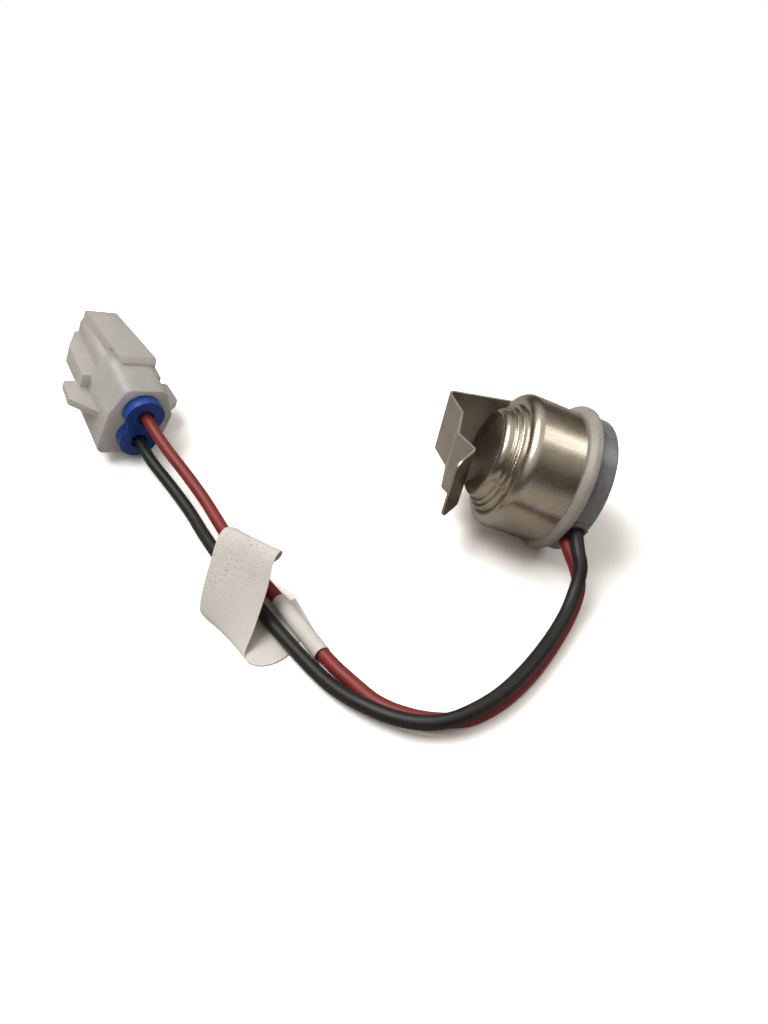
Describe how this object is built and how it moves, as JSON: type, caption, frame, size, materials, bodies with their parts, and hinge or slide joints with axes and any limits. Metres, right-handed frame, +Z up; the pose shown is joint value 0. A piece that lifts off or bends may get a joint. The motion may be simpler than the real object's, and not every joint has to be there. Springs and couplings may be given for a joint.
{
  "type": "defrost switch",
  "caption": "Sealed snap-disc defrost switch with a spring clip for an evaporator tube, two leads with paper labels and a sealed two-way plug.",
  "frame": {"origin": "table level under the middle of the head's own box (can, clip, ring, cap), leads and plug left out", "axes": "+Z up as it lies; the sensing face looks towards -X and is tipped up by 24 degrees; the clip's strap is on the +Y side; the leads leave towards -Y and run round to the plug on the -X, +Y side"},
  "size_m": [0.1144, 0.1001, 0.0288],
  "materials": {
    "can_metal": "bright drawn, lightly brushed",
    "clip_metal": "matte cold-rolled",
    "milky_ring": "translucent milky, satin",
    "smoky_cap": "translucent smoky, semi-gloss",
    "navy_rubber": "satin",
    "resin": "cast",
    "phenolic": "moulded",
    "gasket_rubber": "satin",
    "ceramic_white": "fired, unglazed",
    "bimetal": "rolled",
    "spring_copper": "rolled",
    "contact_silver": "polished",
    "brass": "stamped",
    "tinned": "tin plated",
    "copper": "stranded, drawn as one",
    "red_insulation": "satin extruded",
    "black_insulation": "satin extruded",
    "label_paper": "matte",
    "natural_nylon": "translucent natural, satin",
    "blue_silicone": "satin"
  },
  "bodies": {
    "root": {"sensing_can": "can_metal", "spring_clip": "clip_metal", "flange_ring": "milky_ring", "rear_cap": "smoky_cap", "lead_bushing": "navy_rubber", "potting": "resin", "switch_base": "phenolic", "gasket": "gasket_rubber", "disc_guide": "ceramic_white", "snap_disc": "bimetal", "transfer_pin": "ceramic_white", "moving_arm": "spring_copper", "moving_contact": "contact_silver", "arm_rivet": "brass", "fixed_contact": "contact_silver", "terminal_red": "brass", "terminal_black": "brass", "crimp_red": "tinned", "crimp_black": "tinned", "core_red": "copper", "core_black": "copper", "red_wire": "red_insulation", "black_wire": "black_insulation", "sleeve_label": "label_paper", "flag_label": "label_paper", "plug_housing": "natural_nylon", "plug_seal": "blue_silicone", "plug_terminal_red": "tinned", "plug_terminal_black": "tinned"}
  },
  "joints": []
}
